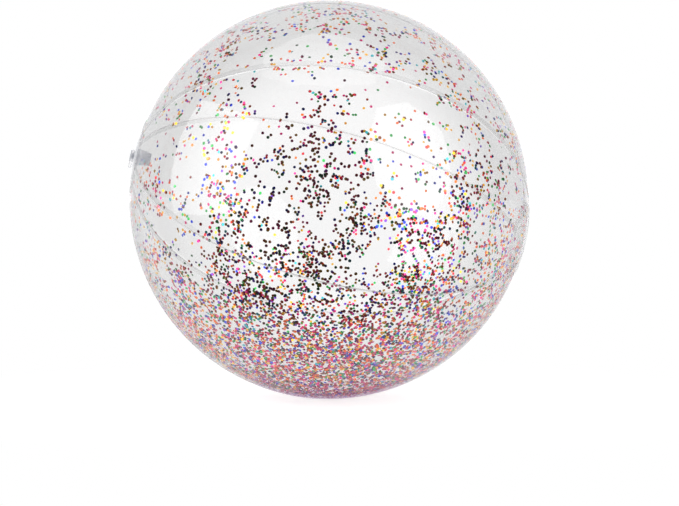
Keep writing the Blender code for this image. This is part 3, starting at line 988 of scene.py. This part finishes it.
        jitter = add_node(tree, VECTOR, {0: jitter, "Scale": loose_step}, operation="SCALE")
        tight = add_node(tree, RANGE, {"Value": slack, "To Min": 1.0, "To Max": self.tightest})
        step = add_node(tree, MATH, {0: link, 1: tight}, operation="MULTIPLY")
        along = add_node(tree, VECTOR, {0: along, "Scale": step}, operation="SCALE")
        aside = add_node(tree, VECTOR, {0: aside, "Scale": bow}, operation="SCALE")
        move = add_node(tree, VECTOR, {0: along, 1: aside}, operation="ADD")
        move = add_node(tree, VECTOR, {0: move, 1: jitter}, operation="ADD")
        move = add_node(tree, VECTOR, {0: move, "Scale": size["Dot Diameter"]}, operation="SCALE")
        strung = add_node(tree, "GeometryNodeSetPosition", {"Geometry": chain, "Offset": move})

        # In the bed most dots are loose; elsewhere all of them cling.
        low = add_node(tree, MATH, {0: height, 1: -1.0}, operation="MULTIPLY")
        low = add_node(tree, MATH, {0: low}, operation="ARCCOSINE")
        low = add_node(tree, MATH, {0: low, 1: size["Bed Half Angle"]}, operation="DIVIDE")
        odds = add_node(tree, RANGE, {"Value": low, "From Min": self.bed_edge, "From Max": 1.0,
                                      "To Min": self.loose_share, "To Max": 0.0})
        draw = add_node(tree, RANDOM, {2: 0.0, 3: 1.0, "Seed": 5}, out=1, data_type="FLOAT")
        loose = add_node(tree, "FunctionNodeCompare", {0: draw, 1: odds}, data_type="FLOAT",
                         operation="LESS_THAN")
        wrong_hold = add_node(tree, "FunctionNodeBooleanMath", {0: loose, 1: size["Loose"]}, operation="XOR")
        paint = add_node(tree, RANDOM, {2: 0.0, 3: 1.0, "Seed": 6}, out=1, data_type="FLOAT")
        under = add_node(tree, "FunctionNodeCompare", {0: paint, 1: size["Share From"]}, data_type="FLOAT",
                         operation="LESS_THAN")
        over = add_node(tree, "FunctionNodeCompare", {0: paint, 1: size["Share To"]}, data_type="FLOAT",
                        operation="GREATER_EQUAL")
        to_valve = add_node(tree, VECTOR, {0: heading, 1: size["Valve"]}, out="Value", operation="DISTANCE")
        to_valve = add_node(tree, MATH, {0: to_valve, 1: size["Film Radius"]}, operation="MULTIPLY")
        at_valve = add_node(tree, "FunctionNodeCompare", {0: to_valve, 1: size["Valve Room"]},
                            data_type="FLOAT", operation="LESS_THAN")
        out = add_node(tree, "FunctionNodeBooleanMath", {0: under, 1: over}, operation="OR")
        out = add_node(tree, "FunctionNodeBooleanMath", {0: out, 1: wrong_hold}, operation="OR")
        out = add_node(tree, "FunctionNodeBooleanMath", {0: out, 1: at_valve}, operation="OR")
        mine = add_node(tree, "GeometryNodeDeleteGeometry", {"Geometry": strung, "Selection": out},
                        domain="POINT")

        # Lay each dot under the film, tipped a little, and deeper the more it tips.
        most_tip = add_node(tree, "GeometryNodeSwitch", {
            "Switch": size["Loose"], "False": self.clinging_tip, "True": self.loose_tip}, input_type="FLOAT")
        tip = add_node(tree, RANDOM, {0: (-1, -1, -1), 1: (1, 1, 1), "Seed": 7}, data_type="FLOAT_VECTOR")
        size_of_tip = add_node(tree, VECTOR, {0: tip}, operation="ABSOLUTE")
        tip = add_node(tree, VECTOR, {0: tip, 1: size_of_tip}, operation="MULTIPLY")
        tip = add_node(tree, VECTOR, {0: tip, "Scale": most_tip}, operation="SCALE")
        tip_parts = add_node(tree, "ShaderNodeSeparateXYZ", {0: tip})
        spin = add_node(tree, RANDOM, {2: 0.0, 3: pi, "Seed": 8}, out=1, data_type="FLOAT")
        euler = add_node(tree, "ShaderNodeCombineXYZ", {
            "X": tip_parts, "Y": tip_parts.node.outputs["Y"], "Z": spin})
        tipped = add_node(tree, "FunctionNodeEulerToRotation", {0: euler})
        facing = add_node(tree, "FunctionNodeAlignRotationToVector", {"Vector": heading}, axis="Z")
        turned = add_node(tree, "FunctionNodeRotateRotation", {"Rotation": facing, "Rotate By": tipped},
                          rotation_space="LOCAL")
        tipping = add_node(tree, VECTOR, {0: tip}, out="Value", operation="LENGTH")
        dip = add_node(tree, MATH, {0: tipping, 1: size["Dot Diameter"]}, operation="MULTIPLY")
        dip = add_node(tree, MATH, {0: dip, 1: 0.5}, operation="MULTIPLY")
        pile = add_node(tree, RANDOM, {2: 0.0, 3: 1.0, "Seed": 9}, out=1, data_type="FLOAT")
        deep = add_node(tree, "GeometryNodeSwitch", {
            "Switch": size["Loose"], "False": self.clinging_pile, "True": self.loose_pile},
            input_type="FLOAT")
        pile = add_node(tree, MATH, {0: pile, 1: deep}, operation="MULTIPLY")
        inset = add_node(tree, MATH, {0: dip, 1: pile}, operation="ADD")
        inset = add_node(tree, MATH, {0: inset, 1: size["Foil"]}, operation="ADD")
        inset = add_node(tree, MATH, {0: inset, 1: size["Clearance"]}, operation="ADD")
        reach = add_node(tree, MATH, {0: size["Film Radius"], 1: inset}, operation="SUBTRACT")
        spot = add_node(tree, VECTOR, {0: heading, "Scale": reach}, operation="SCALE")
        laid = add_node(tree, "GeometryNodeSetPosition", {"Geometry": mine, "Position": spot})
        half = add_node(tree, MATH, {0: size["Dot Diameter"], 1: 0.5}, operation="MULTIPLY")
        die_cut = add_node(tree, "GeometryNodeMeshCylinder", {
            "Vertices": self.sides, "Radius": half, "Depth": size["Foil"]}, fill_type="NGON")
        least, most = self.die_wear
        scale = add_node(tree, RANDOM, {2: least, 3: most, "Seed": 10}, out=1, data_type="FLOAT")
        dots = add_node(tree, "GeometryNodeInstanceOnPoints", {
            "Points": laid, "Instance": die_cut, "Rotation": turned, "Scale": scale})
        for name in ("lean", "slack"):
            dots = add_node(tree, "GeometryNodeRemoveAttribute", {"Geometry": dots, "Name": name})
        close_tree(tree, dots, size["Finish"])
        return tree

    def build(self) -> None:
        """Make one piece for each lacquer and each hold, and ride it on the ball or on the rolling bed."""
        tree = self.tree()
        start = 0.0
        for foil in Foil:
            lacquer = foil.value
            finish = lacquer.material()
            for hold in Hold:
                piece = grow(f"confetti_{hold.value}_{lacquer.name}", tree, {
                    "Film Radius": self.ball.radius, "Dot Diameter": self.dot, "Foil": self.foil,
                    "Clearance": self.loose_clearance if hold is Hold.LOOSE else self.clinging_clearance,
                    "Clump": self.clump, "Seed": self.seed, "Share From": start,
                    "Share To": start + lacquer.share, "Loose": hold is Hold.LOOSE,
                    "Bed Half Angle": self.bed_half_angle, "Valve": self.ball.pole,
                    "Valve Room": self.valve.flange_radius + self.valve_room, "Finish": finish})
                if hold is Hold.LOOSE:
                    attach(piece, "glitter")
                    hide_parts("glitter_bed")
                else:
                    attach(piece, "ball")
                report(piece, f"{lacquer.name} foil dots")
            start += lacquer.share


# Studio

@dataclass(frozen=True)
class Softbox:
    """A flat light panel, placed by its direction as the camera sees it from the ball."""

    name: str
    side: float                         # degrees round to the camera's right from the camera
    height: float                       # degrees above the horizon
    width: float
    depth: float
    glow: float                         # radiance, with the backdrop at 1
    corners: int = 4
    distance: float = 1.3


@dataclass
class Studio:
    """White backdrop and floor, three softboxes and the camera."""

    azimuth: float = -6.0
    distance: float = 1.94
    lens: float = 105.5
    shift: tuple[float, float] = (0.0149, -0.0795)
    cool: float = 0.03                  # blue that the dark side of the room adds, which dark foil shows
    # Brightness of the room, from the wall behind the camera (0) to the one behind the ball (1)
    room: tuple[tuple[float, float], ...] = (
        (0.0, 0.012), (0.45, 0.03), (0.56, 0.07), (0.7, 0.13), (0.8, 0.7), (0.9, 1.6), (1.0, 2.1))
    floor_size: float = 40.0
    floor_tone: float = 0.5
    floor_fill: float = 0.75            # its own light near the ball, which far out is 1
    floor_far: tuple[float, float] = (0.05, 0.45)       # distance from the ball's foot for that change
    # Painted light on the floor for what the ball mirrors: a painted bright pool, painted dark towards the
    # camera, and a painted mauve shadow under the ball
    floor_ahead: tuple[float, float] = (0.11, 0.22)
    floor_painted_light: float = 1.3
    floor_painted_shade: float = 0.03
    # painted shadow: mauve under the ball, in what the ball mirrors of the floor, and how far it reaches
    painted_shadow_tint: tuple[float, float, float, float] = (0.50, 0.31, 0.50, 1.0)
    painted_shadow_reach: tuple[float, float] = (0.02, 0.13)
    softboxes: tuple[Softbox, ...] = (
        Softbox("softbox_left", -72.0, 17.0, 1.10, 1.15, 2.8),
        Softbox("softbox_right", 46.0, 20.0, 1.05, 1.35, 2.6, corners=8),
        Softbox("softbox_top", -14.0, 80.0, 1.20, 0.88, 1.4, corners=8),
    )

    @property
    def axes(self) -> tuple[Vector, Vector, Vector]:
        """The camera's right, the way towards the camera, and up."""
        turn = radians(self.azimuth)
        towards = Vector((sin(turn), -cos(turn), 0.0))
        return Vector((0, 0, 1)).cross(towards), towards, Vector((0, 0, 1))

    def build_camera(self) -> None:
        """Aim a long lens level at the ball's centre."""
        data = bpy.data.cameras.new("camera")
        data.lens = self.lens
        data.sensor_width = 36.0
        data.shift_x, data.shift_y = self.shift
        camera = bpy.data.objects.new("camera", data)
        towards = self.axes[1]
        camera.location = towards * self.distance
        camera.rotation_euler = towards.to_track_quat("Z", "Y").to_euler()
        bpy.context.scene.collection.objects.link(camera)
        bpy.context.scene.camera = camera

    def build_softboxes(self) -> None:
        """Hang the light panels, hidden from the camera but not from what mirrors them."""
        right, towards, up = self.axes
        for box in self.softboxes:
            side, height = radians(box.side), radians(box.height)
            heading = (right * sin(side) + towards * cos(side)) * cos(height) + up * sin(height)
            shape = bmesh.new()
            radius = 0.5 / cos(pi / box.corners)
            bmesh.ops.create_circle(shape, cap_ends=True, segments=box.corners, radius=radius)
            spin = Matrix.Rotation(pi / box.corners, 4, "Z")
            facing = heading.to_track_quat("Z", "Y").to_matrix().to_4x4()
            place = Matrix.Translation(heading * box.distance) @ facing
            stretch = Matrix.Diagonal((box.width, box.depth, 1.0, 1.0))
            bmesh.ops.transform(shape, matrix=place @ stretch @ spin, verts=shape.verts)
            mesh = bpy.data.meshes.new(box.name)
            shape.to_mesh(mesh)
            shape.free()
            panel = add_object(box.name, mesh)
            made, tree = new_material(box.name)
            lamp = add_node(tree, EMISSION, {"Strength": box.glow})
            add_node(tree, "ShaderNodeOutputMaterial", {"Surface": lamp})
            mesh.materials.append(made)
            panel.visible_camera = False
            panel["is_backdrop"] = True

    def build_world(self) -> None:
        """White backdrop for the eye; for the light, a room that is dark by the camera and bright behind."""
        world = bpy.data.worlds.new("studio")
        bpy.context.scene.world = world
        world.use_nodes = True
        tree = world.node_tree
        tree.nodes.clear()
        way = add_node(tree, "ShaderNodeTexCoord", out="Generated")
        facing = add_node(tree, VECTOR, {0: way, 1: -self.axes[1]}, out="Value", operation="DOT_PRODUCT")
        depth = add_node(tree, RANGE, {"Value": facing, "From Min": -1.0, "From Max": 1.0})
        ramp = add_node(tree, "ShaderNodeValToRGB", {"Fac": depth}, out="Color")
        bands = ramp.node.color_ramp
        for number, (where, grey) in enumerate(self.room):
            band = bands.elements[number] if number < 2 else bands.elements.new(where)
            band.position = where
            band.color = (grey, grey, grey + self.cool * (1 - where) ** 2, 1.0)
        seen = add_node(tree, "ShaderNodeLightPath", out="Is Camera Ray")
        room = add_node(tree, MIX, {0: seen, 6: ramp, 7: (1, 1, 1, 1)}, out=2, data_type="RGBA")
        sky = add_node(tree, "ShaderNodeBackground", {"Color": room, "Strength": 1.0})
        add_node(tree, "ShaderNodeOutputWorld", {"Surface": sky})

    def build_floor(self, height: float) -> None:
        """Lay the pale floor, evenly bright far out and lit by the room near the ball; what the ball mirrors
        of it is painted light, with a painted mauve shadow under the ball.
        """
        shape = bmesh.new()
        bmesh.ops.create_circle(shape, cap_ends=True, segments=96, radius=self.floor_size)
        mesh = bpy.data.meshes.new("floor")
        bmesh.ops.translate(shape, vec=(0, 0, height), verts=shape.verts)
        shape.to_mesh(mesh)
        shape.free()
        floor = add_object("floor", mesh)
        made, tree = new_material("pale_sweep")
        place = add_node(tree, "ShaderNodeTexCoord", out="Object")
        flat = add_node(tree, VECTOR, {0: place, 1: (1, 1, 0)}, operation="MULTIPLY")
        away = add_node(tree, VECTOR, {0: flat}, out="Value", operation="LENGTH")
        start, end = self.floor_far
        far = add_node(tree, RANGE, {"Value": away, "From Min": start, "From Max": end},
                       interpolation_type="SMOOTHSTEP")
        matt = add_node(tree, "ShaderNodeBsdfDiffuse", {
            "Color": (self.floor_tone, self.floor_tone, self.floor_tone, 1.0)})
        glow = add_node(tree, EMISSION, {"Strength": 1.0})
        fill = add_node(tree, EMISSION, {"Strength": self.floor_fill})
        lit = add_node(tree, "ShaderNodeAddShader", {0: matt, 1: fill})
        seen_floor = add_node(tree, "ShaderNodeMixShader", {0: far, 1: lit, 2: glow})
        # Painted light for what the ball mirrors: bright under and behind the ball, painted dark towards the
        # camera.
        ahead = add_node(tree, VECTOR, {0: place, 1: self.axes[1]}, out="Value", operation="DOT_PRODUCT")
        start, end = self.floor_ahead
        dark = add_node(tree, RANGE, {"Value": ahead, "From Min": start, "From Max": end,
                                      "To Min": self.floor_painted_light, "To Max": self.floor_painted_shade},
                        interpolation_type="SMOOTHSTEP")
        # Painted shadow: a mauve tint on the floor close under the ball.
        start, end = self.painted_shadow_reach
        under = add_node(tree, RANGE, {"Value": away, "From Min": start, "From Max": end},
                         interpolation_type="SMOOTHSTEP")
        painted_shadow_tint = add_node(tree, MIX, {0: under, 6: self.painted_shadow_tint, 7: (1, 1, 1, 1)}, out=2, data_type="RGBA")
        # The floor glows with this painted light and painted shadow for every ray but the camera's.
        painted_floor_glow = add_node(tree, EMISSION, {"Color": painted_shadow_tint, "Strength": dark})
        seen = add_node(tree, "ShaderNodeLightPath", out="Is Camera Ray")
        floor_mix = add_node(tree, "ShaderNodeMixShader", {0: seen, 1: painted_floor_glow, 2: seen_floor})
        add_node(tree, "ShaderNodeOutputMaterial", {"Surface": floor_mix})
        mesh.materials.append(made)
        floor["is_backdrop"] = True

    def build(self, floor_height: float) -> None:
        """Set up the whole studio."""
        scene = bpy.context.scene
        scene.view_settings.view_transform = "Standard"
        scene.cycles.transparent_max_bounces = 48
        self.build_camera()
        self.build_softboxes()
        self.build_world()
        self.build_floor(floor_height)


def main() -> None:
    """Build the ball's looks around the frame."""
    logging.basicConfig(level=logging.INFO, format="%(message)s", stream=sys.stdout)
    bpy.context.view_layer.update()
    joints = {joint["name"]: joint for joint in frame["record"]["behaviour"]["joints"]}
    mounts = {mount["name"]: mount for mount in frame["record"]["mounts"]}
    slide = joints["valve_pop_out"]
    pole = Vector(slide["axis"]).normalized()
    ball = FilmBody(outside=-2 * mounts["ground_contact"]["pos_m"][2], pole=pole, seam_turn=radians(6.5))
    head_top = Vector(mounts["plug_face"]["pos_m"]).dot(pole)
    valve = Valve(ball, seat_height=0.0, travel=slide["range_m"][1])
    valve.seat_height = head_top - valve.head_foot - valve.head_thickness

    film = ClearFilm(pole=pole).material()
    patch = ClearFilm(name="clear_pvc_patch", roughness=0.14, haze=0.03, pole=pole).material()
    moulding = SoftVinyl("milky_pvc_moulding", "#f1f3f6", "#dde1e6", 0.80).material()
    plug = SoftVinyl("plug_pvc_moulding", "#e8ebef", "#d0d5dc", 0.50).material()

    ball.build(film)
    ball.build_plain_patch(patch)
    valve.build_patch(patch)
    valve.build_ring(moulding)
    valve.build_skirt(moulding)
    valve.build_stem(moulding)
    valve.build_plug(plug)
    valve.build_tether(moulding)
    valve.build_flap(film)
    Confetti(ball, valve, bed_half_angle=radians(50)).build()
    Studio().build(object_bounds()[0].z - 0.2 * MM)

    LOG.info("done")


if __name__ == "__main__":
    main()
